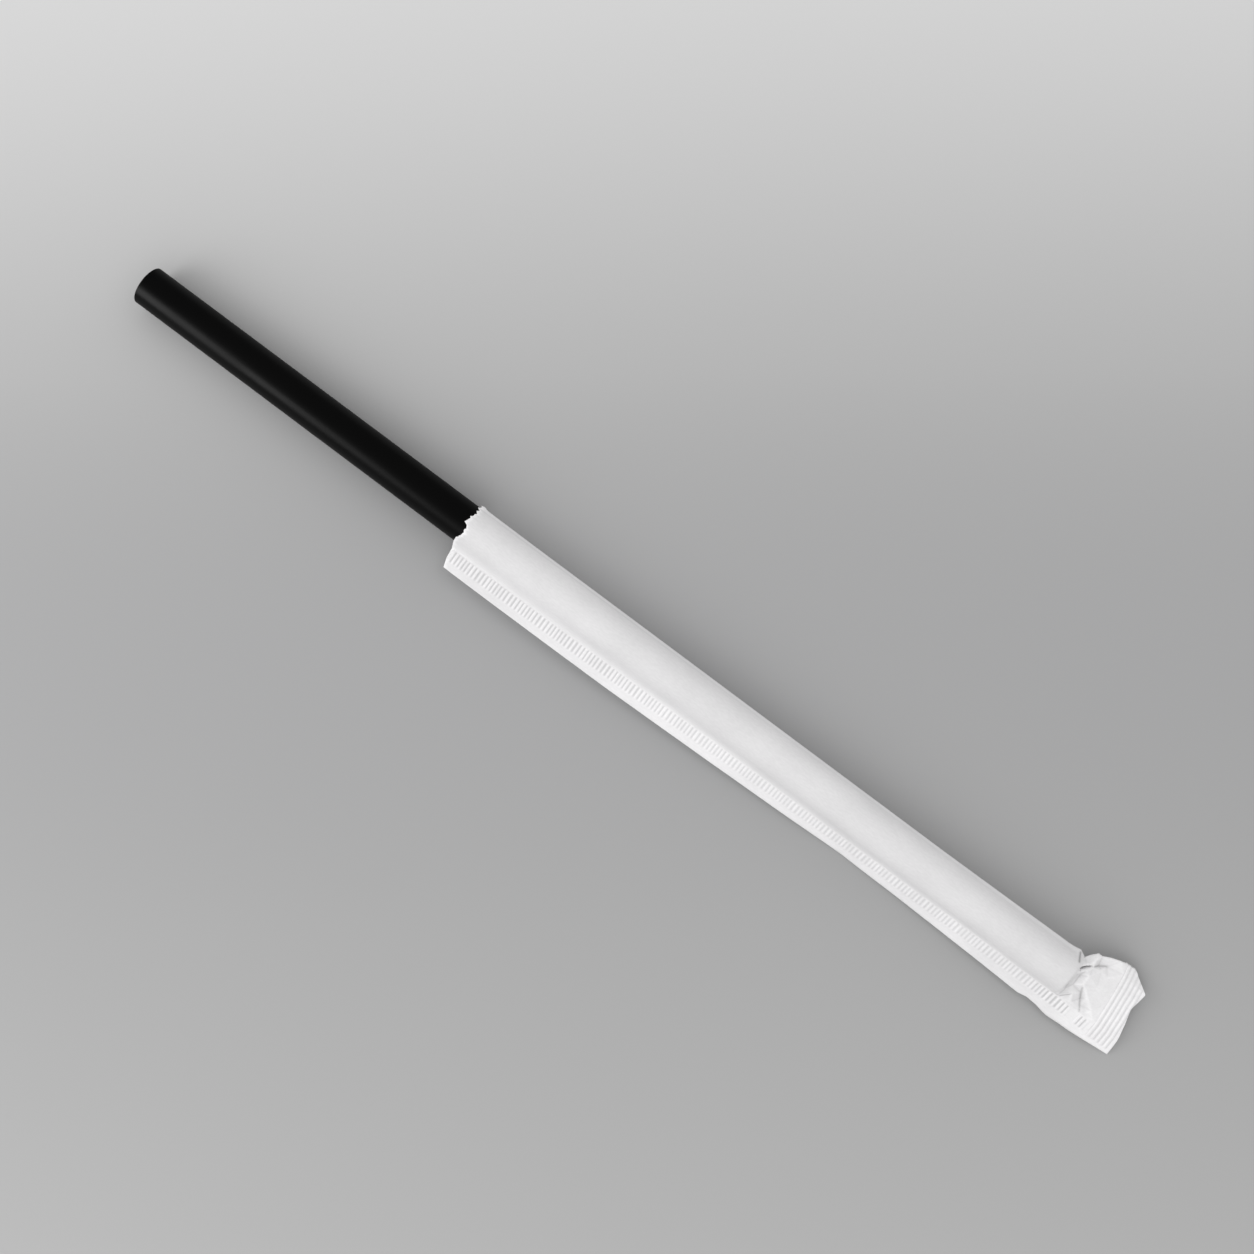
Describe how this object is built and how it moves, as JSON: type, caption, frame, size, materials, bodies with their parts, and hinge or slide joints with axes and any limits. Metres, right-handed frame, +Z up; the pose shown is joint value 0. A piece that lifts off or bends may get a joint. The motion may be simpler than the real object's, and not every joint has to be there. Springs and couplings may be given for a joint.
{
  "type": "wrapped drinking straw",
  "caption": "Straight tubular drinking straw half out of a crimped paper sleeve that is torn open at one end.",
  "frame": {"origin": "under the middle of the whole part's box, on the surface that it lies on", "axes": "+X along the straw towards the wrapper's sealed end, +Y towards the wrapper's fold (its crimped side seam is on -Y), +Z up"},
  "size_m": [0.219, 0.0164, 0.0079],
  "materials": {
    "straw_plastic": "extruded black polypropylene, satin",
    "wrapper_paper": "thin bleached wrapping paper, uncoated and semi-matte, with crimped seams"
  },
  "bodies": {
    "wrapper": {"wrapper": "wrapper_paper"},
    "straw": {"straw": "straw_plastic"}
  },
  "joints": [
    {"name": "straw_slide", "type": "slide", "parent": "wrapper", "child": "straw", "axis": [-1, 0, 0], "range_m": [0, 0.132]}
  ]
}
